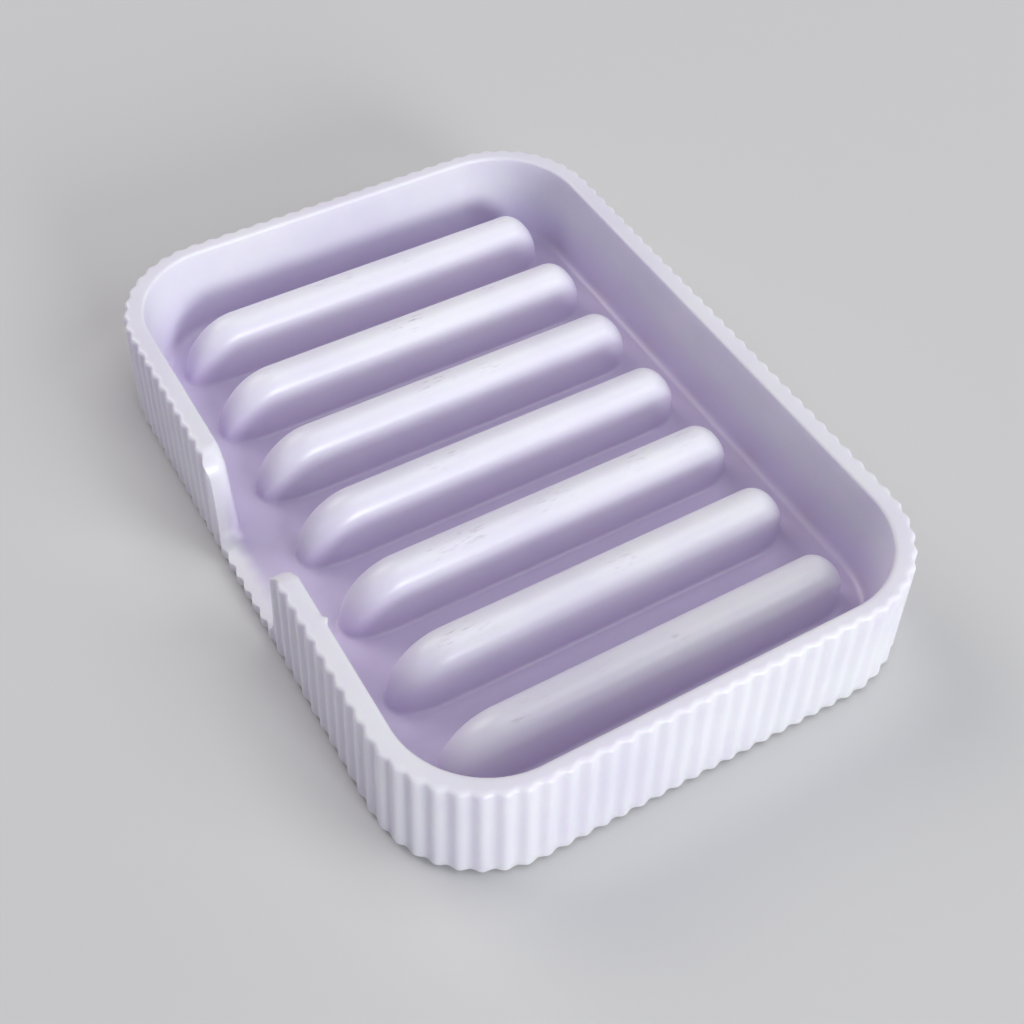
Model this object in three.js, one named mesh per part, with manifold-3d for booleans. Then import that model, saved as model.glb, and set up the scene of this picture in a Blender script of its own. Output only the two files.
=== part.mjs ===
// Soap dish: a rectangular cast tray with a reeded outside wall, rounded draining ribs across
// its floor, a spout notch through one long wall, and four stick-on pads under its base.
//
// Millimetres. X runs across the dish, Y along it and Z up from the table that the pads stand on.
// The spout notch is on the -X side.

import * as THREE from 'three';
import { mergeVertices } from 'three/addons/utils/BufferGeometryUtils.js';
import Module from 'manifold-3d';

// Cast body, measured over the crests of the reeding at the foot of the wall.
const dishLength = 125;
const dishWidth = 90.8;
const dishHeight = 19.8;
const cornerRadius = 18.5;
const wallLean = 0.8; // each side leans in this far from foot to rim
const rimOuterRound = 0.6;

// Reeding: upright convex ridges side by side, with sharp valleys between them.
const reedPitch = 3.12;
const reedDepth = 0.55;
const reedLineInset = 1.2; // the reeds are evenly spaced along a line this far inside their crests
const reedFacets = 4;

// Tray: the hollow inside the wall, measured at the rim.
const rimOnLongSides = 3.5; // crest line to tray, at the rim
const rimOnShortSides = 2.8;
const trayCornerRadius = 15;
const trayLean = 0.7; // each tray wall leans in this far from rim to floor
const rimInnerRound = 0.5;
const floorThickness = 3.4;
const floorFillet = 0.8;

// Draining ribs: bars with steep sides and a round top, standing on the tray floor. Each runs out
// in a long nose on the spout's side and in a short one on the other.
const ribCount = 7;
const ribPitch = 15.6;
const ribWidth = 7.5; // at the foot, without the fillet
const ribTopRound = 3.6;
const ribHeight = 10.5;
const ribFootFillet = 0.8;
const ribRoot = 1; // how far a rib reaches down into the floor
const spoutSideNose = { reach: 35.9, length: 10.4, archPower: 1.85, planPower: 2.3 };
const farSideNose = { reach: 35.5, length: 6, archPower: 1.85, planPower: 1.8 };
const noseTip = 0.998; // share of the nose's length where its blunt tip closes

// Spout notch through the wall.
const notchWidth = 20.6; // between the cheeks, at the level of the spout
const notchFlare = 1.2; // each cheek leans out this far from spout to rim
const notchTopRound = 3; // the upper corners roll outwards with this radius
const notchFootRound = 2.6; // the cheeks run into the spout with this radius
const notchSweep = 1.3; // the cut ends of the wall sweep out this far by the tray's rim
const notchSweepLength = 2.4; // starting this far before it
const notchSweepPower = 5; // how suddenly: 2 is a parabola, more turns later and sharper
const notchOuterRound = 0.7; // and they are rounded a little towards the outside
const notchSink = 1.4; // the spout slopes down this far from the tray floor to its outer lip
const notchReach = 1.6; // and starts this far inside the tray

// Pads: soft discs glued into shallow round recesses in the base.
const padDiameter = 10;
const padThickness = 1.6;
const padProud = 0.6; // how far a pad stands out of the base
const padEdgeRound = 0.35;
const padInset = 17; // pad centre to the outside of the wall
const padClearance = 0.3; // round the pad, in its recess
const glueFilm = 0.3; // between the pad and the roof of its recess

// Fineness of the round stretches.
const cornerFacets = 8;
const filletFacets = 4;
const noseFacets = 8;
const sweepFacets = 7;
const ribFacets = 12;
const padFacets = 32;

const wasm = await Module();
wasm.setup();

// Closed geometry to solid, for cutting and joining.
function toSolid(geometry) {
  const bare = geometry.clone();
  bare.deleteAttribute('normal');
  bare.deleteAttribute('uv');
  const merged = mergeVertices(bare, 1e-4);
  return new wasm.Manifold(new wasm.Mesh({
    numProp: 3,
    vertProperties: new Float32Array(merged.attributes.position.array),
    triVerts: new Uint32Array(merged.index.array),
  }));
}

function toGeometry(solid) {
  const mesh = solid.getMesh();
  const geometry = new THREE.BufferGeometry();
  geometry.setAttribute('position', new THREE.BufferAttribute(mesh.vertProperties, 3));
  geometry.setIndex(new THREE.BufferAttribute(mesh.triVerts, 1));
  geometry.computeVertexNormals();
  return geometry;
}

// Skin through a stack of rings with equal point counts, closed by a flat cap at each end.
// Rings run anticlockwise seen from the last ring's side.
function loft(rings, capPlane) {
  const count = rings[0].length;
  const positions = rings.flat().flatMap((point) => point.toArray());
  const index = [];
  for (let ring = 0; ring + 1 < rings.length; ring += 1) {
    for (let i = 0; i < count; i += 1) {
      const next = (i + 1) % count;
      const low = ring * count;
      const high = low + count;
      index.push(low + i, low + next, high + next);
      index.push(low + i, high + next, high + i);
    }
  }
  const caps = THREE.ShapeUtils.triangulateShape(rings[0].map(capPlane), []);
  const last = (rings.length - 1) * count;
  for (const [a, b, c] of caps) {
    index.push(c, b, a);
  }
  for (const [a, b, c] of THREE.ShapeUtils.triangulateShape(rings.at(-1).map(capPlane), [])) {
    index.push(last + a, last + b, last + c);
  }
  const geometry = new THREE.BufferGeometry();
  geometry.setAttribute('position', new THREE.Float32BufferAttribute(positions, 3));
  geometry.setIndex(index);
  return geometry;
}

const seenFromAbove = (point) => new THREE.Vector2(point.x, point.y);
const seenAlongX = (point) => new THREE.Vector2(point.y, point.z);

// Heights that the pieces share.
const baseZ = padProud;
const rimZ = baseZ + dishHeight;
const floorZ = baseZ + floorThickness;

// A place on a rounded rectangle, at a share of the way round from the middle of the +Y side,
// anticlockwise, with the outward direction there.
function placeOnRoundedRectangle(halfX, halfY, radius, share) {
  const straightX = 2 * (halfX - radius);
  const straightY = 2 * (halfY - radius);
  const arc = (Math.PI / 2) * radius;
  const sides = [straightX, straightY, straightX, straightY];
  let along = share * (2 * straightX + 2 * straightY + 4 * arc) + straightX / 2;
  let side = 0;
  while (along > sides[side % 4] + arc) {
    along -= sides[side % 4] + arc;
    side += 1;
  }
  const turn = (side % 4) * (Math.PI / 2);
  const half = side % 2 === 0 ? new THREE.Vector2(halfX, halfY) : new THREE.Vector2(halfY, halfX);
  const bend = Math.max(0, along - sides[side % 4]) / radius;
  const outward = new THREE.Vector2(-Math.sin(bend), Math.cos(bend));
  const point = new THREE.Vector2(half.x - radius - Math.min(along, sides[side % 4]), half.y - radius);
  point.addScaledVector(outward, radius);
  const centre = new THREE.Vector2();
  return { point: point.rotateAround(centre, turn), outward: outward.rotateAround(centre, turn) };
}

// Reeded outline of the outside wall at height z, drawn in by inset.
function reededRing(z, inset) {
  const halfX = dishWidth / 2 - reedLineInset;
  const halfY = dishLength / 2 - reedLineInset;
  const radius = cornerRadius - reedLineInset;
  const way = 4 * (halfX + halfY) - (8 - 2 * Math.PI) * radius;
  const reedCount = 2 * Math.round(way / reedPitch / 2);
  const points = [];
  for (let i = 0; i < reedCount * reedFacets; i += 1) {
    const share = i / (reedCount * reedFacets);
    const fromCrest = ((i + reedFacets / 2) % reedFacets) / reedFacets - 0.5;
    const drop = reedDepth * (2 * fromCrest) ** 2;
    const { point, outward } = placeOnRoundedRectangle(halfX, halfY, radius, share);
    point.addScaledVector(outward, reedLineInset - inset - drop);
    points.push(new THREE.Vector3(point.x, point.y, z));
  }
  return points;
}

// Plain rounded rectangle at height z.
function plainRing(halfX, halfY, radius, z) {
  const points = [];
  for (let corner = 0; corner < 4; corner += 1) {
    const centreX = (corner === 0 || corner === 3 ? 1 : -1) * (halfX - radius);
    const centreY = (corner < 2 ? 1 : -1) * (halfY - radius);
    for (let i = 0; i <= cornerFacets; i += 1) {
      const angle = (corner + i / cornerFacets) * (Math.PI / 2);
      const x = centreX + radius * Math.cos(angle);
      const y = centreY + radius * Math.sin(angle);
      points.push(new THREE.Vector3(x, y, z));
    }
  }
  return points;
}

// Outside of the casting: reeded wall leaning in to a rim with a rolled outer edge.
function castingBlank() {
  const rings = [];
  const straight = dishHeight - rimOuterRound;
  rings.push(reededRing(baseZ, 0));
  for (let i = 0; i <= 2; i += 1) {
    const angle = (i / 2) * (Math.PI / 2);
    const rise = straight + rimOuterRound * Math.sin(angle);
    const roll = rimOuterRound * (1 - Math.cos(angle));
    rings.push(reededRing(baseZ + rise, (wallLean * rise) / dishHeight + roll));
  }
  return toSolid(loft(rings, seenFromAbove));
}

// Half sizes of the tray at the rim.
const trayHalfX = dishWidth / 2 - wallLean - rimOnLongSides;
const trayHalfY = dishLength / 2 - wallLean - rimOnShortSides;

// Hollow of the tray: floor, fillet, leaning wall, and a rolled inner rim edge.
function trayHollow() {
  const rings = [];
  const ringAt = (inset, z) => {
    const radius = trayCornerRadius - inset;
    rings.push(plainRing(trayHalfX - inset, trayHalfY - inset, radius, z));
  };
  const wallHeight = rimZ - floorZ;
  const leanAt = (z) => (trayLean * (rimZ - z)) / wallHeight;
  for (let i = 0; i <= filletFacets; i += 1) {
    const angle = (i / filletFacets) * (Math.PI / 2);
    const z = floorZ + floorFillet * (1 - Math.cos(angle));
    ringAt(leanAt(z) + floorFillet * (1 - Math.sin(angle)), z);
  }
  for (let i = 0; i <= 2; i += 1) {
    const angle = (i / 2) * (Math.PI / 2);
    const z = rimZ - rimInnerRound * (1 - Math.sin(angle));
    ringAt(leanAt(z) - rimInnerRound * (1 - Math.cos(angle)), z);
  }
  ringAt(-rimInnerRound, rimZ + rimInnerRound);
  return toSolid(loft(rings, seenFromAbove));
}

// Section of a rib across its length: down in the floor, fillet, steep side, round top, and back.
// Widths and heights are drawn in by the nose's shares.
function ribRing(x, y, widthShare, heightShare) {
  const sideHeight = ribHeight - ribTopRound;
  const edge = [];
  edge.push(new THREE.Vector2(ribWidth / 2 + ribFootFillet, -ribRoot));
  for (let i = 0; i <= 2; i += 1) {
    const angle = (i / 2) * (Math.PI / 2);
    const flare = ribFootFillet * (1 - Math.sin(angle));
    edge.push(new THREE.Vector2(ribWidth / 2 + flare, ribFootFillet * (1 - Math.cos(angle)) * heightShare));
  }
  for (let i = 0; i < ribFacets / 2; i += 1) {
    const angle = (i / ribFacets) * Math.PI;
    const rise = sideHeight + ribTopRound * Math.sin(angle);
    edge.push(new THREE.Vector2(ribTopRound * Math.cos(angle), rise * heightShare));
  }
  const top = new THREE.Vector2(0, ribHeight * heightShare);
  const otherEdge = edge.map((point) => new THREE.Vector2(-point.x, point.y)).reverse();
  return [...edge, top, ...otherEdge].map(
    (point) => new THREE.Vector3(x, y + point.x * widthShare, floorZ + point.y),
  );
}

// One rib: a straight bar between two noses. Along a nose the height and the width fall off as
// (1 - share ** power) ** (1 / power).
function ribBar(y) {
  const rings = [];
  const ringOn = (nose, end, step) => {
    const along = Math.min(noseTip, Math.sin((step / noseFacets) * (Math.PI / 2)));
    const heightShare = (1 - along ** nose.archPower) ** (1 / nose.archPower);
    const widthShare = (1 - along ** nose.planPower) ** (1 / nose.planPower);
    const x = end * (nose.reach - nose.length * (1 - along));
    rings.push(ribRing(x, y, widthShare, heightShare));
  };
  for (let step = noseFacets; step >= 0; step -= 1) {
    ringOn(spoutSideNose, -1, step);
  }
  for (let step = 0; step <= noseFacets; step += 1) {
    ringOn(farSideNose, 1, step);
  }
  return toSolid(loft(rings, seenAlongX));
}

// Outline of the spout notch, seen along X: cheeks that lean out, run into the spout with a
// fillet and roll over at the rim. The spout slopes down ever more steeply to its outer lip.
function notchRing(x, widen) {
  const slopeStart = -trayHalfX + notchReach;
  const low = floorZ - notchSink * ((slopeStart - x) / (slopeStart + dishWidth / 2)) ** 2;
  const half = notchWidth / 2 + widen;
  const cheekAt = (z) => half + (notchFlare * (z - low)) / (rimZ - low);
  const points = [];
  for (const side of [1, -1]) {
    const edge = [];
    for (let i = 0; i <= filletFacets; i += 1) {
      const angle = (i / filletFacets) * (Math.PI / 2);
      const z = low + notchFootRound * (1 - Math.cos(angle));
      edge.push(new THREE.Vector3(x, side * (cheekAt(z) - notchFootRound * (1 - Math.sin(angle))), z));
    }
    for (let i = 0; i <= filletFacets; i += 1) {
      const angle = (i / filletFacets) * (Math.PI / 2);
      const z = rimZ - notchTopRound * (1 - Math.sin(angle));
      edge.push(new THREE.Vector3(x, side * (cheekAt(z) + notchTopRound * (1 - Math.cos(angle))), z));
    }
    edge.push(new THREE.Vector3(x, edge.at(-1).y, rimZ + notchTopRound));
    points.push(...(side > 0 ? edge : edge.reverse()));
  }
  return points;
}

// The notch through the wall: its cheeks are rounded to the outer face and sweep out towards the
// tray as a power of the way.
function spoutNotch() {
  const outerX = -dishWidth / 2;
  const innerX = -trayHalfX;
  const rings = [notchRing(outerX - notchOuterRound, notchOuterRound)];
  for (let i = 0; i <= filletFacets; i += 1) {
    const angle = (i / filletFacets) * (Math.PI / 2);
    const widen = notchOuterRound * (1 - Math.sin(angle));
    rings.push(notchRing(outerX + notchOuterRound * (1 - Math.cos(angle)), widen));
  }
  for (let i = 0; i <= sweepFacets; i += 1) {
    const along = (i / sweepFacets) * (notchSweepLength + notchReach);
    const widen = notchSweep * (along / notchSweepLength) ** notchSweepPower;
    rings.push(notchRing(innerX - notchSweepLength + along, widen));
  }
  return toSolid(loft(rings, seenAlongX));
}

// Pad centres, one in each corner of the base.
const padPlaces = [
  { name: 'pad_front_left', x: -1, y: -1 },
  { name: 'pad_front_right', x: 1, y: -1 },
  { name: 'pad_rear_left', x: -1, y: 1 },
  { name: 'pad_rear_right', x: 1, y: 1 },
].map(({ name, x, y }) => ({
  name,
  x: x * (dishWidth / 2 - padInset),
  y: y * (dishLength / 2 - padInset),
}));

// Recess for one pad, cut up into the base.
function padRecess({ x, y }) {
  const depth = padThickness + glueFilm - padProud;
  const recess = new THREE.CylinderGeometry(
    padDiameter / 2 + padClearance,
    padDiameter / 2 + padClearance,
    depth + padProud,
    padFacets,
  );
  recess.rotateX(Math.PI / 2);
  recess.translate(x, y, (depth + padProud) / 2);
  return toSolid(recess);
}

function castDish() {
  let hollow = trayHollow();
  for (let i = 0; i < ribCount; i += 1) {
    hollow = hollow.subtract(ribBar((i - (ribCount - 1) / 2) * ribPitch));
  }
  let body = castingBlank().subtract(hollow).subtract(spoutNotch());
  for (const place of padPlaces) {
    body = body.subtract(padRecess(place));
  }
  return toGeometry(body);
}

// A pad: a disc revolved from its half section, with a softened lower edge.
function padDisc() {
  const radius = padDiameter / 2;
  const profile = [
    new THREE.Vector2(0, 0),
    new THREE.Vector2(radius - padEdgeRound, 0),
    new THREE.Vector2(radius, padEdgeRound),
    new THREE.Vector2(radius, padThickness),
    new THREE.Vector2(0, padThickness),
  ];
  const disc = new THREE.LatheGeometry(profile, padFacets);
  disc.rotateX(Math.PI / 2);
  return disc;
}

const castLilac = new THREE.MeshStandardMaterial({ color: '#cfc8e2', roughness: 0.45, metalness: 0 });
const clearRubber = new THREE.MeshStandardMaterial({ color: '#d9d6d2', roughness: 0.5, metalness: 0 });

const soapDish = new THREE.Group();

const dish = new THREE.Mesh(castDish(), castLilac);
dish.name = 'cast_dish';
soapDish.add(dish);

for (const { name, x, y } of padPlaces) {
  const pad = new THREE.Mesh(padDisc(), clearRubber);
  pad.name = name;
  pad.position.set(x, y, 0);
  soapDish.add(pad);
}

export default soapDish;
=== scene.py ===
# Soap dish: a cast lilac tray with reeded sides, draining ribs and a spout notch, on four soft pads
import math
import bpy
import numpy as np
from mathutils import Matrix, Vector


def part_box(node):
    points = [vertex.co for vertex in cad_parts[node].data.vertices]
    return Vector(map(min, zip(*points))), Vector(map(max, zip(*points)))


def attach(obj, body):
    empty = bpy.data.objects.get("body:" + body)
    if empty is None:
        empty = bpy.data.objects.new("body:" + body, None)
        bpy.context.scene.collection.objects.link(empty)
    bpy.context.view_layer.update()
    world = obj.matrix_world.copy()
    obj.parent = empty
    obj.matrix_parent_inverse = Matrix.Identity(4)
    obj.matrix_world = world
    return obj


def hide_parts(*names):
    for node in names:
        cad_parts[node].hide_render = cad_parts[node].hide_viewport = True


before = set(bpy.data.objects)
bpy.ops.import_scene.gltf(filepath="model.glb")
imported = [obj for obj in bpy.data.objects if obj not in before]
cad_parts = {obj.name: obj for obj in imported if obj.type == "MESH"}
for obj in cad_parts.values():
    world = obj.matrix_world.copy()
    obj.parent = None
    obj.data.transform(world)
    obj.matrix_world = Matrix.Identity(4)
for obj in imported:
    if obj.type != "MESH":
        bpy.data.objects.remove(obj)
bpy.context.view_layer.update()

mm = 0.001
quarter = math.pi / 2
dishLow, dishHigh = (np.array(corner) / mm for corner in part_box("cast_dish"))
print("frame loaded, dish", np.round(dishHigh - dishLow, 1), "mm")


# mesh from an (n, 3) array of points in mm and lists of faces, shaded smooth up to a fold angle; further
# values, one per point, are there for the material
def meshPiece(name, points, faceLists, material, sharpAngle, **values):
    mesh = bpy.data.meshes.new(name)
    corners = np.concatenate([faces.ravel() for faces in faceLists]).astype(np.int32)
    sizes = np.concatenate([np.full(len(faces), faces.shape[1]) for faces in faceLists])
    mesh.vertices.add(len(points))
    mesh.vertices.foreach_set("co", (points * mm).astype(np.float32).ravel())
    mesh.loops.add(len(corners))
    mesh.loops.foreach_set("vertex_index", corners)
    mesh.polygons.add(len(sizes))
    mesh.polygons.foreach_set("loop_start", (np.cumsum(sizes) - sizes).astype(np.int32))
    mesh.update(calc_edges=True)
    mesh.shade_smooth()
    mesh.set_sharp_from_angle(angle=math.radians(sharpAngle))
    mesh.materials.append(material)
    for label, value in values.items():
        mesh.attributes.new(label, "FLOAT", "POINT").data.foreach_set("value", value.astype(np.float32))
    piece = bpy.data.objects.new(name, mesh)
    bpy.context.scene.collection.objects.link(piece)
    print(name, len(points), "points,", int(np.sum(sizes - 2)), "triangles")
    return piece


# faces of a grid of rows and columns whose columns may close on themselves
def gridFaces(rows, columns, closed, first=0):
    index = first + np.arange(rows * columns).reshape(rows, columns)
    if closed:
        index = np.concatenate([index, index[:, :1]], 1)
    low, high = index[:-1], index[1:]
    return np.stack([low[:, :-1], low[:, 1:], high[:, 1:], high[:, :-1]], -1).reshape(-1, 4)


# triangles between an outer and an inner loop, both anticlockwise: the edges of both are taken in
# the order of their middles' angles, and each is joined to the point reached on the other loop
def zipLoops(outerAngle, innerAngle, outerIndex, innerIndex):
    outerAngle, innerAngle = np.unwrap(outerAngle), np.unwrap(innerAngle)
    midOut = (outerAngle + np.append(outerAngle[1:], outerAngle[0] + 2 * math.pi)) / 2
    midIn = (innerAngle + np.append(innerAngle[1:], innerAngle[0] + 2 * math.pi)) / 2
    order = np.argsort(np.concatenate([midOut, midIn]) % (2 * math.pi), kind="stable")
    onOuter = order < len(midOut)
    out = (order[onOuter][0] + np.cumsum(onOuter) - onOuter) % len(midOut)
    inn = (order[~onOuter][0] - len(midOut) + np.cumsum(~onOuter) - ~onOuter) % len(midIn)
    fromOuter = np.stack([outerIndex[out], np.roll(outerIndex, -1)[out], innerIndex[inn]], -1)
    fromInner = np.stack([np.roll(innerIndex, -1)[inn], innerIndex[inn], outerIndex[out]], -1)
    return np.where(onOuter[:, None], fromOuter, fromInner)


# sRGB hex colour to the linear values that sockets take
def hexColour(code):
    srgb = np.array([int(code[i:i + 2], 16) for i in (1, 3, 5)]) / 255
    linear = np.where(srgb <= 0.04045, srgb / 12.92, ((srgb + 0.055) / 1.055) ** 2.4)
    return (*linear.tolist(), 1.0)


# add a node with its settings, socket values and links; an input given as (node, output) is linked,
# and one written as an underscore and a number is that socket
def addNode(tree, kind, settings=None, **inputs):
    node = tree.nodes.new(kind)
    for name, value in (settings or {}).items():
        setattr(node, name, value)
    for name, value in inputs.items():
        byNumber = name[1:].isdigit()
        socket = node.inputs[int(name[1:]) if byNumber else name.replace("_", " ")]
        if isinstance(value, tuple) and isinstance(value[0], bpy.types.Node):
            tree.links.new(value[0].outputs[value[1]], socket)
        else:
            socket.default_value = value
    return node


# empty material with its output node
def newMaterial(name):
    material = bpy.data.materials.new(name)
    material.use_nodes = True
    tree = material.node_tree
    tree.nodes.clear()
    output = tree.nodes.new("ShaderNodeOutputMaterial")
    return material, tree, output


# texture scale that gives a feature of this size in mm, on Object coordinates in metres
def perMm(size):
    return 1 / (size * mm)


castFinish = {
    # the hollows' colour is painted shade, a deeper lilac laid on the tray's low parts
    "paleColour": "#e9e8ed", "deepColour": "#e1dee9", "paintedShadeColour": "#d0c4e0", "rubbedColour": "#ccc6d0",
    "roughness": 0.33, "roughSpread": 0.04, "sheenLow": 0.3, "sheenHigh": 0.7, "ior": 1.5,
    "scatter": 0.5, "scatterRadius": 2.5, "scatterTint": (1.0, 0.7, 1.15),
    "cloudSize": 26, "cloudLow": 0.35, "cloudHigh": 0.65,
    "grainSize": 0.35, "grainDepth": 0.012, "grainStrength": 0.25,
    "rubSize": 0.45, "rubStretch": 5, "rubLow": 0.56, "rubHigh": 0.7, "rubDepth": 0.03, "rubStrength": 0.5,
    "patchSize": 10, "patchLow": 0.5, "patchHigh": 0.66,
}


# cast mineral resin, poured in a polished mould and sealed: satin sheen, soft milky depth, a faint
# cloudiness where the pigment settled and rub marks on the crowns; painted shade: deeper lilac in the
# tray's hollows
def castLilac(look):
    material, tree, output = newMaterial("cast mineral resin, lilac satin")
    place = addNode(tree, "ShaderNodeTexCoord")
    # weight of the painted shade: a deeper lilac laid on the tray's hollows
    hollow = addNode(tree, "ShaderNodeAttribute", {"attribute_name": "hollow"})
    crown = addNode(tree, "ShaderNodeAttribute", {"attribute_name": "crown"})

    # pigment: clouds of two near tints, then painted shade, a deeper lilac in the hollows
    cloud = addNode(tree, "ShaderNodeTexNoise", Vector=(place, "Object"), Scale=perMm(look["cloudSize"]),
                    Detail=3.0, Roughness=0.5)
    settled = addNode(tree, "ShaderNodeValToRGB", Fac=(cloud, "Fac"))
    settled.color_ramp.elements[0].position = look["cloudLow"]
    settled.color_ramp.elements[0].color = hexColour(look["deepColour"])
    settled.color_ramp.elements[1].position = look["cloudHigh"]
    settled.color_ramp.elements[1].color = hexColour(look["paleColour"])
    # painted shade mixed over the pigment by that weight
    withPaintedShade = addNode(tree, "ShaderNodeMix", {"data_type": "RGBA"}, _0=(hollow, "Fac"), _6=(settled, "Color"),
                   _7=hexColour(look["paintedShadeColour"]))

    # rub marks: fine streaks along the ribs, in patches, on the crowns only
    along = addNode(tree, "ShaderNodeMapping", Vector=(place, "Object"),
                    Scale=(1 / look["rubStretch"], 1, 1))
    streak = addNode(tree, "ShaderNodeTexNoise", Vector=(along, "Vector"), Scale=perMm(look["rubSize"]),
                     Detail=3.0)
    patch = addNode(tree, "ShaderNodeTexNoise", Vector=(place, "Object"), Scale=perMm(look["patchSize"]),
                    Detail=1.0)
    streakMask = addNode(tree, "ShaderNodeMapRange", Value=(streak, "Fac"), From_Min=look["rubLow"],
                         From_Max=look["rubHigh"])
    patchMask = addNode(tree, "ShaderNodeMapRange", Value=(patch, "Fac"), From_Min=look["patchLow"],
                        From_Max=look["patchHigh"])
    inPatch = addNode(tree, "ShaderNodeMath", {"operation": "MULTIPLY"}, _0=(streakMask, "Result"),
                      _1=(patchMask, "Result"))
    rub = addNode(tree, "ShaderNodeMath", {"operation": "MULTIPLY"}, _0=(inPatch, 0), _1=(crown, "Fac"))
    tint = addNode(tree, "ShaderNodeMix", {"data_type": "RGBA"}, _0=(rub, 0), _6=(withPaintedShade, 2),
                   _7=hexColour(look["rubbedColour"]))

    # surface: satin that varies with the clouds, a fine grain, and the rub marks sunk into it
    sheen = addNode(tree, "ShaderNodeMapRange", Value=(cloud, "Fac"),
                    From_Min=look["sheenLow"], From_Max=look["sheenHigh"],
                    To_Min=look["roughness"] - look["roughSpread"] / 2,
                    To_Max=look["roughness"] + look["roughSpread"] / 2)
    grain = addNode(tree, "ShaderNodeTexNoise", Vector=(place, "Object"), Scale=perMm(look["grainSize"]),
                    Detail=2.0, Roughness=0.6)
    fine = addNode(tree, "ShaderNodeBump", Height=(grain, "Fac"), Strength=look["grainStrength"],
                   Distance=look["grainDepth"] * mm)
    bump = addNode(tree, "ShaderNodeBump", {"invert": True}, Height=(rub, 0), Strength=look["rubStrength"],
                   Distance=look["rubDepth"] * mm, Normal=(fine, "Normal"))
    shader = addNode(tree, "ShaderNodeBsdfPrincipled", Base_Color=(tint, 2), Roughness=(sheen, "Result"),
                     Normal=(bump, "Normal"), IOR=look["ior"], Subsurface_Weight=look["scatter"],
                     Subsurface_Scale=look["scatterRadius"] * mm, Subsurface_Radius=look["scatterTint"])
    tree.links.new(shader.outputs["BSDF"], output.inputs["Surface"])
    return material


padFinish = {
    "colour": "#d9d6d2", "dustColour": "#c6c2bc", "dustSize": 0.8, "dustLow": 0.3, "dustHigh": 0.6,
    "roughness": 0.45, "ior": 1.49, "scatter": 0.4, "scatterRadius": 1.0,
    "bumpDepth": 0.02, "bumpStrength": 0.2,
}


# cast polyurethane bumper: milky, soft and slightly tacky, with dust held in its skin
def padRubber(look):
    material, tree, output = newMaterial("polyurethane, milky satin")
    place = addNode(tree, "ShaderNodeTexCoord")
    dust = addNode(tree, "ShaderNodeTexNoise", Vector=(place, "Object"), Scale=perMm(look["dustSize"]),
                   Detail=4.0)
    tint = addNode(tree, "ShaderNodeValToRGB", Fac=(dust, "Fac"))
    tint.color_ramp.elements[0].position = look["dustLow"]
    tint.color_ramp.elements[0].color = hexColour(look["dustColour"])
    tint.color_ramp.elements[1].position = look["dustHigh"]
    tint.color_ramp.elements[1].color = hexColour(look["colour"])
    bump = addNode(tree, "ShaderNodeBump", Height=(dust, "Fac"), Strength=look["bumpStrength"],
                   Distance=look["bumpDepth"] * mm)
    shader = addNode(tree, "ShaderNodeBsdfPrincipled", Base_Color=(tint, "Color"),
                     Roughness=look["roughness"], IOR=look["ior"], Normal=(bump, "Normal"),
                     Subsurface_Weight=look["scatter"], Subsurface_Scale=look["scatterRadius"] * mm)
    tree.links.new(shader.outputs["BSDF"], output.inputs["Surface"])
    return material


# sizes in mm, counts of steps and plain powers; the overall sizes come from the frame
dishForm = {
    "cornerRadius": 18.5, "wallLean": 0.8, "footRound": 0.5, "rimOuterRound": 0.7, "baseRing": 2.6,
    "reedPitch": 3.12, "reedDepth": 0.46, "reedLineInset": 1.2, "reedSteps": 8,
    "rimOnLongSides": 3.5, "rimOnShortSides": 2.8, "rimInnerRound": 0.5,
    "trayCornerRadius": 15.0, "trayLean": 0.7, "floorThickness": 3.4, "floorFillet": 1.6,
    "footSteps": 4, "wallSteps": 12, "edgeSteps": 5, "rimSteps": 4, "traySteps": 10, "filletSteps": 7,
    "ribCount": 7, "ribPitch": 15.6, "ribWidth": 7.5, "ribTopRound": 3.6, "ribHeight": 10.5, "ribFoot": 0.7,
    "ribLeftReach": 35.7, "ribLeftNose": 10.2, "ribLeftArch": 1.75, "ribLeftPlan": 2.65,
    "ribRightReach": 35.5, "ribRightNose": 6.0, "ribRightArch": 1.85, "ribRightPlan": 1.8,
    "ribNoseSteps": 29, "ribSpanSteps": 11, "ribRoundSteps": 14, "ribSideSteps": 6, "ribFootSteps": 6,
    "notchWidth": 20.6, "notchFlare": 1.2, "notchTopRound": 4.0, "notchFootRound": 2.6,
    "notchFootInner": 0.6, "notchOuterRound": 0.7, "notchSink": 1.4, "notchReach": 1.6,
    "notchSweep": 1.3, "notchSweepLength": 2.4, "notchSweepPower": 5, "notchSweepLimit": 1.6,
    "notchEdge": 0.7, "notchFade": 2.0, "notchFadeFrom": 0.4,
    "notchSteps": 4, "notchZone": 6.0, "notchArcSteps": 24,
    "flashY": -23.8, "flashWidth": 0.5, "flashReach": 0.7, "crownDepth": 1.0,
    "recessClearance": 0.3, "recessDepth": 1.3, "recessSteps": 64, "lineSteps": 24, "foldAngle": 38,
}
halfX, halfY = dishHigh[:2]
baseZ, rimZ = dishLow[2], dishHigh[2]
floorZ = baseZ + dishForm["floorThickness"]
trayX = halfX - dishForm["wallLean"] - dishForm["rimOnLongSides"]
trayY = halfY - dishForm["wallLean"] - dishForm["rimOnShortSides"]


# place on a rounded rectangle: straight stretch of each side, then a quarter turn, anticlockwise
# from the +Y side. along runs from -1 to 1 on the straight, bend from 0 to a quarter turn after it
def onRoundedRectangle(side, along, bend, sizeX, sizeY, radius):
    turn = side * quarter
    ahead = np.stack([-np.cos(turn), -np.sin(turn)], -1)
    out = np.stack([-np.sin(turn), np.cos(turn)], -1)
    straight = np.where(side % 2 == 0, sizeX, sizeY) - radius
    reach = np.where(side % 2 == 0, sizeY, sizeX) - radius
    outward = out * np.cos(bend)[:, None] + ahead * np.sin(bend)[:, None]
    return ahead * (straight * along)[:, None] + out * reach[:, None] + radius * outward, outward


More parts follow.
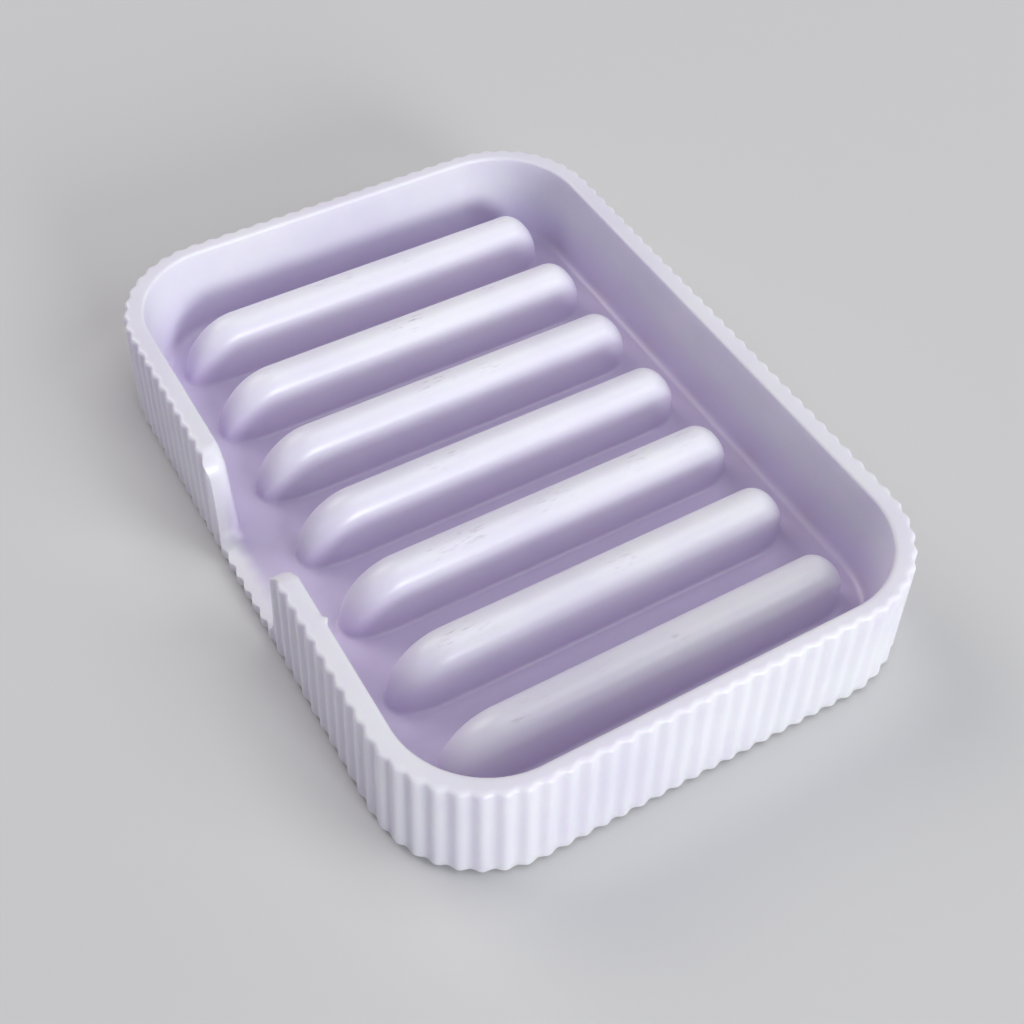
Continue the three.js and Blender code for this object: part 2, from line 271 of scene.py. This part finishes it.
# samples round the wall: equal steps along the reed line, finer beside the notch's cheeks; gives
# each sample's place and how far it is from its reed's crest, from -0.5 to 0.5
def wallSamples(form):
    inset = form["reedLineInset"]
    radius = form["cornerRadius"] - inset
    lengths = 2 * np.array([halfX - form["cornerRadius"], halfY - form["cornerRadius"]] * 2)
    whole = lengths + quarter * radius
    way = np.sum(whole)
    reeds = 2 * round(way / form["reedPitch"] / 2)
    count = reeds * form["reedSteps"]
    step = way / count

    def placeAt(distance):
        ends = np.cumsum(whole)
        distance = (distance + lengths[0] / 2) % way
        side = np.searchsorted(ends, distance, side="right") % 4
        local = distance - (ends[side] - whole[side])
        along = np.clip(2 * local / lengths[side] - 1, -1, 1)
        return side, along, np.clip(local - lengths[side], 0, None) / radius

    coarse = np.arange(count) * step
    side, along, bend = placeAt(coarse + step / 2)
    lineY = onRoundedRectangle(side, along, bend, halfX, halfY, form["cornerRadius"])[0][:, 1]
    cheek = np.abs(np.abs(lineY) - form["notchWidth"] / 2 - form["notchFlare"]) < form["notchZone"]
    parts = np.where((side == 1) & cheek, form["notchSteps"], 1)
    owner = np.repeat(np.arange(count), parts)
    inner = np.arange(len(owner)) - np.repeat(np.cumsum(parts) - parts, parts)
    distance = coarse[owner] + inner / parts[owner] * step
    fromCrest = distance / (step * form["reedSteps"]) % 1 - 0.5
    return (*placeAt(distance), fromCrest)


# profile of the wall from the base, up the outside, over the rim and down to the tray floor: straight
# leaning faces joined by quarter circles. One row per ring, with share (0 outside to 1 inside), inset,
# height and how much reeding shows
def wallProfile(form):
    def arc(steps):
        return np.linspace(0, quarter, steps)

    rise = rimZ - baseZ
    lean = lambda z: form["wallLean"] * (z - baseZ) / rise
    drop = rimZ - floorZ
    trayLean = lambda z: form["trayLean"] * (rimZ - z) / drop
    foot, outer = form["footRound"], form["rimOuterRound"]
    inner, fillet = form["rimInnerRound"], form["floorFillet"]
    rows = [np.array([[0, form["baseRing"], baseZ, 0]])]
    turn = arc(form["footSteps"])       # outside: foot, face and upper edge
    z = baseZ + foot * (1 - np.cos(turn))
    rows.append(np.stack([0 * z, foot * (1 - np.sin(turn)), z, 0 * z + 1], -1))
    z = np.linspace(baseZ + foot, rimZ - outer, form["wallSteps"])[1:-1]
    rows.append(np.stack([0 * z, lean(z), z, 0 * z + 1], -1))
    turn = arc(form["edgeSteps"])
    z = rimZ - outer * (1 - np.sin(turn))
    rows.append(np.stack([0 * z, lean(z) + outer * (1 - np.cos(turn)), z, 0 * z + 1], -1))
    share = np.linspace(0, 1, form["rimSteps"] + 2)[1:-1]       # across the rim
    rows.append(np.stack([share, 0 * share, 0 * share + rimZ, 1 - share], -1))
    z = rimZ - inner * (1 - np.cos(turn))       # inside: upper edge, face and fillet
    rows.append(np.stack([0 * z + 1, trayLean(z) - inner * (1 - np.sin(turn)), z, 0 * z], -1))
    z = np.linspace(rimZ - inner, floorZ + fillet, form["traySteps"])[1:-1]
    rows.append(np.stack([0 * z + 1, trayLean(z), z, 0 * z], -1))
    turn = arc(form["filletSteps"])
    z = floorZ + fillet * (1 - np.sin(turn))
    rows.append(np.stack([0 * z + 1, trayLean(z) + fillet * (1 - np.cos(turn)), z, 0 * z], -1))
    return np.concatenate(rows)


# height of the notch's surface over a point of the wall, against distance from the notch's middle:
# spout, fillet, leaning cheek, roll over at the rim. The cheeks open out to both faces, the fillet
# tightens towards the tray, and the spout slopes down to its outer lip
def notchHeight(form, x, y):
    half, top, flare = form["notchWidth"] / 2, form["notchTopRound"], form["notchFlare"]
    turn = np.linspace(0, quarter, form["notchArcSteps"])
    rise = rimZ - floorZ
    highZ = rise - top * (1 - np.sin(turn))
    highY = half + flare * highZ / rise + top * (1 - np.cos(turn))

    def heightAt(foot, across):
        lowZ = foot * (1 - np.cos(turn))
        lowY = half + flare * lowZ / rise - foot * (1 - np.sin(turn))
        profileY = np.concatenate([lowY, highY, [halfY]])
        profileZ = np.concatenate([lowZ, highZ, [rise]])
        return np.interp(across, profileY, profileZ)

    outer, reach = form["notchOuterRound"], form["notchReach"]
    openIn = np.clip((x + trayX) / form["notchSweepLength"] + 1, 0, form["notchSweepLimit"])
    openOut = np.clip((outer - halfX - x) / outer, 0, 1)
    widen = form["notchSweep"] * openIn ** form["notchSweepPower"] + outer * (1 - np.sqrt(1 - openOut ** 2))
    across = np.abs(y) - widen
    tight = np.clip(openIn, 0, 1) ** 2
    wide = heightAt(form["notchFootRound"], across)
    cut = wide * (1 - tight) + heightAt(form["notchFootInner"], across) * tight
    ramp = np.clip((-x - trayX + reach) / (halfX - trayX + reach), 0, 1)
    return floorZ + cut - form["notchSink"] * ramp ** 2 * (1 - cut / rise)


# lower the wall to the notch's surface, with a soft edge: the lower of the two heights, blended
# over notchEdge, and no blend at the rim and the floor, where the two run into each other
def cutNotch(form, points):
    x, y, z = points[..., 0], points[..., 1], points[..., 2]
    cut = notchHeight(form, x, y)
    atRim = np.clip((rimZ - cut) / form["notchFade"], 0, 1)
    atFloor = np.clip((z - floorZ - form["notchFadeFrom"]) / form["notchFade"], 0, 1)
    blend = form["notchEdge"] * atRim * atFloor + 1e-6      # kept above 0 for the division
    mix = np.clip(0.5 + 0.5 * (cut - z) / blend, 0, 1)
    lowered = cut * (1 - mix) + z * mix - blend * mix * (1 - mix)
    points[..., 2] = np.where(x < -halfX / 2, lowered, z)
    return points


# rings of the wall: every row of the profile carried round every sample. Outside, the reeds fall from
# crest to valley as a sine squared; inside, a bead of mould flash is left on the edge. Also gives the
# samples at the middles of the four sides
def wallRings(form):
    side, along, bend, fromCrest = wallSamples(form)
    inset = form["reedLineInset"]
    line, outward = onRoundedRectangle(side, along, bend, halfX - inset, halfY - inset,
                                       form["cornerRadius"] - inset)
    reed = form["reedDepth"] * np.sin(math.pi * fromCrest) ** 2
    rimOuter = line + outward * (inset - form["wallLean"] - form["rimOuterRound"] - reed)[:, None]
    tray, trayOut = onRoundedRectangle(side, along, bend, trayX, trayY, form["trayCornerRadius"])
    rimInner = tray + trayOut * form["rimInnerRound"]
    share, inward, height, reeding = wallProfile(form).T[:, :, None]
    outside = line + outward * (inset - inward - reed * reeding)[..., None]
    flash = np.exp(-(((tray[:, 1] - form["flashY"]) / form["flashWidth"]) ** 2)) * (tray[:, 0] < 0)
    flash = form["flashReach"] * flash * np.exp(-((rimZ - height) / form["flashReach"]) ** 2)
    inside = tray - trayOut * (inward + flash)[..., None]
    onRim = rimOuter + (rimInner - rimOuter) * share[..., None]
    flat = np.where((share == 0)[..., None], outside, np.where((share == 1)[..., None], inside, onRim))
    tall = np.broadcast_to(height[..., None], flat.shape[:2] + (1,))
    return cutNotch(form, np.concatenate([flat, tall], -1)), np.flatnonzero(np.abs(along) < 1e-6)


# one draining rib about its own middle line. Along it a straight stretch and two noses, where height
# and width fall as (1 - share ** power) ** (1 / power); across it sides that lean in a little to a
# round top. Below the foot radius points are pushed out along the outline by a quarter circle's fillet
def ribBar(form):
    foot, tall, half, top = form["ribFoot"], form["ribHeight"], form["ribWidth"] / 2, form["ribTopRound"]
    noseSteps, spanSteps = form["ribNoseSteps"], form["ribSpanSteps"]
    share = np.sin(quarter * (1 - (1 - np.linspace(0, 1, noseSteps + 1)[:-1]) ** 2))
    share = np.concatenate([-share[::-1], np.zeros(spanSteps), share])[:, None]
    onLeft = np.arange(len(share))[:, None] <= noseSteps + spanSteps // 2
    nose, plan, arch = (np.where(onLeft, form["ribLeft" + key], form["ribRight" + key])
                        for key in ("Nose", "Plan", "Arch"))
    start = -form["ribLeftReach"] + form["ribLeftNose"]
    end = form["ribRightReach"] - form["ribRightNose"]
    span = np.linspace(0, 1, spanSteps + 2)[1:-1]
    along = start + (end - start) * np.concatenate([np.zeros(noseSteps), span, np.ones(noseSteps)])[:, None]
    turn = np.linspace(0, quarter, form["ribRoundSteps"] + 1)[1:]
    footTurn = np.linspace(0, quarter, form["ribFootSteps"] + 1)
    upright = np.linspace(foot, tall - top, form["ribSideSteps"] + 1)[1:]
    sideZ = np.append(foot * (1 - np.cos(footTurn)), upright)
    acrossZ = np.append(sideZ, tall - top + top * np.sin(turn))
    across = np.append(1 - (1 - top / half) * sideZ / (tall - top), top / half * np.cos(turn))
    acrossZ = np.append(acrossZ, acrossZ[-2::-1])[None]
    across = np.append(-across, across[-2::-1])[None]
    width = (1 - np.abs(share) ** plan) ** (1 / plan)
    outX, outY = np.sign(share) * np.abs(share) ** (plan - 1) / nose, width ** (plan - 1) / half
    size = np.hypot(outX, outY)
    z = (1 - np.abs(share) ** arch) ** (1 / arch) * acrossZ
    push = foot - np.sqrt(foot ** 2 - np.clip(foot - z, 0, None) ** 2)
    x = along + nose * share + push * outX / size
    y = across * (half * width + push * outY / size)
    return np.stack([x, y, z], -1)


# ribbed floor: each rib stands in a cell between two lines across the tray, and the flat floor
# fills the cell from its outline to the rib's foot
def ribbedFloor(form, ring, ringFirst, first):
    bar = ribBar(form)
    columns, steps = bar.shape[:2]
    leftTip = -form["ribLeftReach"] - form["ribFoot"]
    rightTip = form["ribRightReach"] + form["ribFoot"]
    tips = [[leftTip, 0, 0], [rightTip, 0, 0]]
    one = np.concatenate([bar.reshape(-1, 3), tips])
    middles = (np.arange(form["ribCount"]) - (form["ribCount"] - 1) / 2) * form["ribPitch"]
    ribs = one[None] + np.stack([0 * middles, middles, 0 * middles + floorZ], -1)[:, None]
    index = np.arange(columns * steps).reshape(columns, steps)
    left, right = columns * steps, columns * steps + 1
    fans = np.concatenate([
        np.stack([np.full(steps - 1, left), index[0, :-1], index[0, 1:]], -1),
        np.stack([np.full(steps - 1, right), index[-1, 1:], index[-1, :-1]], -1)])
    footLoop = np.concatenate([[right], index[::-1, -1], [left], index[:, 0]])
    wide, long = form["ribWidth"], form["ribLeftReach"] * 2      # angles are taken in a rib's proportions
    footAngle = np.arctan2(one[footLoop, 1] / wide, one[footLoop, 0] / long)
    shift = first + np.arange(form["ribCount"])[:, None, None] * len(one)
    skin = gridFaces(columns, steps, False)[:, ::-1]
    faces = [(skin + shift).reshape(-1, 4), (fans + shift).reshape(-1, 3)]

    # lines across the tray, each from a ring point on the +X side to one on the -X side
    lineY = (middles[1:] + middles[:-1]) / 2
    offLine = np.abs(ring[:, 1] - lineY[:, None])
    onRight, onLeft = (np.argmin(np.where(sign * ring[:, 0] < 0, np.inf, offLine), 1) for sign in (1, -1))
    share = np.linspace(0, 1, form["lineSteps"] + 2)[1:-1, None]
    lines = ring[onRight, None] + (ring[onLeft] - ring[onRight])[:, None] * share
    lineFirst = first + ribs.shape[0] * ribs.shape[1]
    lineIndex = lineFirst + np.arange(lines.shape[0] * lines.shape[1]).reshape(lines.shape[:2])
    ringIndex = np.arange(len(ring))
    everything = np.concatenate([ribs.reshape(-1, 3), lines.reshape(-1, 3)])
    for rib, middle in enumerate(middles):
        if rib == 0:
            loop = [ringFirst + ringIndex[onLeft[0]:onRight[0] + 1], lineIndex[0]]
        elif rib == len(middles) - 1:
            loop = [ringFirst + ringIndex[onRight[-1]:], ringFirst + ringIndex[:onLeft[-1] + 1],
                    lineIndex[-1][::-1]]
        else:
            loop = [ringFirst + ringIndex[onRight[rib - 1]:onRight[rib] + 1], lineIndex[rib],
                    ringFirst + ringIndex[onLeft[rib]:onLeft[rib - 1] + 1], lineIndex[rib - 1][::-1]]
        loop = np.concatenate(loop)
        place = np.where((loop < first)[:, None], ring[(loop - ringFirst) % len(ring)],
                         everything[np.clip(loop - first, 0, None)])
        angle = np.arctan2((place[:, 1] - middle) / wide, place[:, 0] / long)
        faces.append(zipLoops(angle, footAngle, loop, footLoop + first + rib * len(one)))
    return everything, faces


# pads in the order of the base's quarters, anticlockwise from the far side's middle
padNames = ["pad_rear_left", "pad_front_left", "pad_front_right", "pad_rear_right"]


# underside: four quarters, each a flat sheet from the base ring to the mouth of a round recess,
# and the recess's wall and roof
def underside(form, ring, middles, first):
    turn = np.linspace(0, 2 * math.pi, form["recessSteps"], endpoint=False)
    circle = np.stack([np.cos(turn), np.sin(turn)], -1)
    share = np.linspace(0, 1, form["lineSteps"] + 2)[1:-1, None]
    centre = np.array([[0, 0, baseZ]])
    spokes = centre + (ring[middles] - centre)[:, None] * share
    spokeIndex = first + 1 + np.arange(spokes.shape[0] * spokes.shape[1]).reshape(spokes.shape[:2])
    points = [centre, spokes.reshape(-1, 3)]
    faces = []
    start = first + 1 + spokes.shape[0] * spokes.shape[1]
    ringIndex = np.append(np.arange(len(ring)), 0)
    ends = np.append(middles, len(ring))
    for quarterTurn, name in enumerate(padNames):
        low, high = (np.array(corner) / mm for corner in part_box(name))
        middle = ((low + high) / 2)[:2]
        flat = middle + circle * ((high[0] - low[0]) / 2 + form["recessClearance"])
        mouth = np.column_stack([flat, np.full(len(flat), baseZ)])
        points += [mouth, mouth + np.array([0, 0, form["recessDepth"]])]
        part = ringIndex[ends[quarterTurn]:ends[quarterTurn + 1] + 1]
        back, out = (quarterTurn + 1) % 4, quarterTurn
        loop = np.concatenate([part, spokeIndex[back][::-1], [first], spokeIndex[out]])
        place = np.concatenate([ring[part], spokes[back][::-1], centre, spokes[out]])
        angle = np.arctan2(place[:, 1] - middle[1], place[:, 0] - middle[0])
        mouthIndex = start + np.arange(len(flat))
        sheet = zipLoops(angle, turn, loop, mouthIndex)
        recessWall = gridFaces(2, len(flat), True, start)
        faces += [sheet[:, ::-1], recessWall[:, ::-1], (mouthIndex + len(flat))[None, ::-1]]
        start += 2 * len(flat)
    return np.concatenate(points), faces


# the whole casting as one closed skin: wall rings, ribbed floor and underside
def castDish(form, material):
    rings, middles = wallRings(form)
    rows, columns = rings.shape[:2]
    wall = rings.reshape(-1, 3)
    floor, floorFaces = ribbedFloor(form, rings[-1], (rows - 1) * columns, len(wall))
    under, underFaces = underside(form, rings[0], middles, len(wall) + len(floor))
    points = np.concatenate([wall, floor, under])

    # hollow: weight of the painted shade, 1 on the tray's floor, falling to 0 at the height of the ribs'
    # tops, and 0 outside; crown: 1 along the ribs' tops, falling to 0 over crownDepth
    onWall = np.repeat(wallProfile(form)[:, 0], columns)
    inside = np.concatenate([onWall, np.ones(len(floor)), np.zeros(len(under))])
    onFloor = np.arange(len(points)) >= len(wall)
    above = points[:, 2] - floorZ
    hollow = inside * np.clip(1 - above / form["ribHeight"], 0, 1)
    crown = onFloor * np.clip((above - form["ribHeight"]) / form["crownDepth"] + 1, 0, 1)
    faces = [gridFaces(rows, columns, True), *floorFaces, *underFaces]
    return meshPiece("cast_dish_finish", points, faces, material, form["foldAngle"],
                     hollow=hollow, crown=crown)


# sizes in mm; topRing is a share of the radius
padForm = {
    "edgeRound": 0.45, "soleHollow": 0.12, "topRing": 0.6, "soleSteps": 8, "edgeSteps": 5, "turnSteps": 72,
    "foldAngle": 40,
}


# pad: half section turned about its axis, a flat top, an upright side, a rolled lower edge and a
# sole that is hollowed a little towards its middle
def padDisc(name, form, material):
    low, high = (np.array(corner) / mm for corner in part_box(name))
    radius, tall = (high[0] - low[0]) / 2, high[2] - low[2]
    turn = np.linspace(0, quarter, form["edgeSteps"])[1:]
    sole = np.linspace(0, radius - form["edgeRound"], form["soleSteps"])
    hollow = form["soleHollow"] * (1 - (sole / sole[-1]) ** 2) ** 2
    edgeR = radius - form["edgeRound"] * (1 - np.sin(turn))
    edgeZ = form["edgeRound"] * (1 - np.cos(turn))
    profileR = np.concatenate([sole, edgeR, [radius, radius * form["topRing"], 0]])
    profileZ = np.concatenate([hollow, edgeZ, [tall, tall, tall]])
    angle = np.linspace(0, 2 * math.pi, form["turnSteps"], endpoint=False)
    grid = np.stack([np.outer(profileR[1:-1], np.cos(angle)), np.outer(profileR[1:-1], np.sin(angle)),
                     np.outer(profileZ[1:-1], np.ones(len(angle)))], -1)
    poles = np.array([[0, 0, profileZ[0]], [0, 0, tall]])
    points = np.concatenate([grid.reshape(-1, 3), poles]) + np.append((low + high)[:2] / 2, low[2])
    last = len(points) - 1
    index = np.arange(len(angle))
    topIndex = index + (len(profileR) - 3) * len(angle)
    soleFan = np.stack([np.roll(index, -1), index, np.full(len(index), last - 1)], -1)
    topFan = np.stack([topIndex, np.roll(topIndex, -1), np.full(len(index), last)], -1)
    faces = [gridFaces(len(profileR) - 2, len(angle), True), soleFan, topFan]
    return meshPiece(name + "_finish", points, faces, material, form["foldAngle"])


resin = castLilac(castFinish)
rubber = padRubber(padFinish)
dish = castDish(dishForm, resin)
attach(dish, "root")
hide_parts("cast_dish")
for padName in padNames:
    pad = padDisc(padName, padForm, rubber)
    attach(pad, "root")
    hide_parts(padName)
print("pieces made and riding")


# the floor's size is in metres; fill is the world's strength on matt surfaces
stageForm = {
    "size": 3.6, "floorColour": "#d2d1d0", "floorRoughness": 0.85,
    "roomColour": "#d9d8da", "fillColour": "#e2d3f2", "fill": 0.11,
}


# pale matt floor, a plain sheet far larger than the view
def paleFloor(form):
    half = form["size"] / 2
    mesh = bpy.data.meshes.new("floor")
    corners = [(-half, -half, 0), (half, -half, 0), (half, half, 0), (-half, half, 0)]
    mesh.from_pydata(corners, [], [(0, 1, 2, 3)])
    floor = bpy.data.objects.new("floor", mesh)
    bpy.context.scene.collection.objects.link(floor)
    material, tree, output = newMaterial("matt paper, pale grey")
    shader = addNode(tree, "ShaderNodeBsdfPrincipled", Base_Color=hexColour(form["floorColour"]),
                     Roughness=form["floorRoughness"])
    tree.links.new(shader.outputs["BSDF"], output.inputs["Surface"])
    mesh.materials.append(material)


# lamps: azimuth 0 stands on the -Y side and 90 on the +X side, sizes in metres; light is the strength
# on a surface that faces the lamp squarely, so the wattage grows with the distance squared
lampDistance = 2.4
lamps = {
    "near low": {"azimuth": 4, "elevation": 16, "light": 1.9, "size": 0.9, "colour": "#f8fdff"},
    "near right": {"azimuth": 40, "elevation": 36, "light": 0.88, "size": 1.35, "colour": "#fafeff"},
    "right low": {"azimuth": 90, "elevation": 12, "light": 0.2, "size": 1.2, "colour": "#e4edff"},
    "far left": {"azimuth": 204, "elevation": 40, "light": 1.2, "size": 1.5, "colour": "#fffcf6"},
    "left": {"azimuth": 262, "elevation": 34, "light": 0.3, "size": 1.5, "colour": "#d4e0ff"},
    "overhead": {"azimuth": 84, "elevation": 71, "light": 0.84, "size": 1.65, "colour": "#fcffff"},
}


# unit vector from the dish towards an azimuth and an elevation
def towards(form):
    azimuth, elevation = math.radians(form["azimuth"]), math.radians(form["elevation"])
    return Vector((math.sin(azimuth) * math.cos(elevation), -math.cos(azimuth) * math.cos(elevation),
                   math.sin(elevation)))


# round soft lamp that faces the dish
def hangLamp(name, form):
    toLamp = towards(form)
    lamp = bpy.data.lights.new(name, "AREA")
    lamp.shape = "DISK"
    lamp.size = form["size"]
    lamp.energy = form["light"] * math.pi * lampDistance ** 2
    lamp.color = hexColour(form["colour"])[:3]
    holder = bpy.data.objects.new(name, lamp)
    holder.location = toLamp * lampDistance
    holder.rotation_euler = toLamp.to_track_quat("Z", "Y").to_euler()
    bpy.context.scene.collection.objects.link(holder)


# camera fitted to the photograph's outline, rim and ribs: azimuth and elevation of the line of
# sight, its roll, the distance along it in mm, and how far the dish's middle stands off the axis
cameraForm = {
    "azimuth": -31.366, "elevation": 49.879, "roll": 1.62, "distance": 244.154,
    "aside": -3.145, "raised": 3.473, "focalPixels": 1437.25, "imagePixels": 1024, "sensor": 36.0,
    "nearest": 10,
}


def placeCamera(form):
    azimuth, roll = math.radians(form["azimuth"]), math.radians(form["roll"])
    back = towards(form)
    right = Vector((math.cos(azimuth), math.sin(azimuth), 0))
    up = back.cross(right)
    turnedRight = right * math.cos(roll) + up * math.sin(roll)
    turnedUp = up * math.cos(roll) - right * math.sin(roll)
    away = turnedRight * -form["aside"] + turnedUp * -form["raised"] + back * form["distance"]
    place = (away + Vector((0, 0, baseZ))) * mm
    camera = bpy.data.cameras.new("camera")
    camera.sensor_width = form["sensor"]
    camera.lens = form["focalPixels"] / form["imagePixels"] * form["sensor"]
    camera.clip_start = form["nearest"] * mm
    holder = bpy.data.objects.new("camera", camera)
    turned = Matrix((turnedRight, turnedUp, back)).transposed().to_4x4()
    holder.matrix_world = Matrix.Translation(place) @ turned
    bpy.context.scene.collection.objects.link(holder)
    bpy.context.scene.camera = holder


# the room: a pale plain surround for the camera and for reflections, a faint lilac fill on matt
# surfaces, and the lamps
def lightScene(form):
    world = bpy.data.worlds.new("soft room")
    world.use_nodes = True
    tree = world.node_tree
    tree.nodes.clear()
    ray = addNode(tree, "ShaderNodeLightPath")
    mirrored = addNode(tree, "ShaderNodeMath", {"operation": "MAXIMUM"}, _0=(ray, "Is Glossy Ray"),
                       _1=(ray, "Is Transmission Ray"))
    seen = addNode(tree, "ShaderNodeMath", {"operation": "MAXIMUM"}, _0=(ray, "Is Camera Ray"),
                   _1=(mirrored, 0))
    fill = addNode(tree, "ShaderNodeBackground", Color=hexColour(form["fillColour"]), Strength=form["fill"])
    room = addNode(tree, "ShaderNodeBackground", Color=hexColour(form["roomColour"]))
    mix = addNode(tree, "ShaderNodeMixShader", _0=(seen, 0), _1=(fill, 0), _2=(room, 0))
    addNode(tree, "ShaderNodeOutputWorld", Surface=(mix, 0))
    bpy.context.scene.world = world
    for name, lampForm in lamps.items():
        hangLamp(name, lampForm)


paleFloor(stageForm)
lightScene(stageForm)
placeCamera(cameraForm)
bpy.context.scene.view_settings.view_transform = "Standard"
print("stage, lamps and camera set")
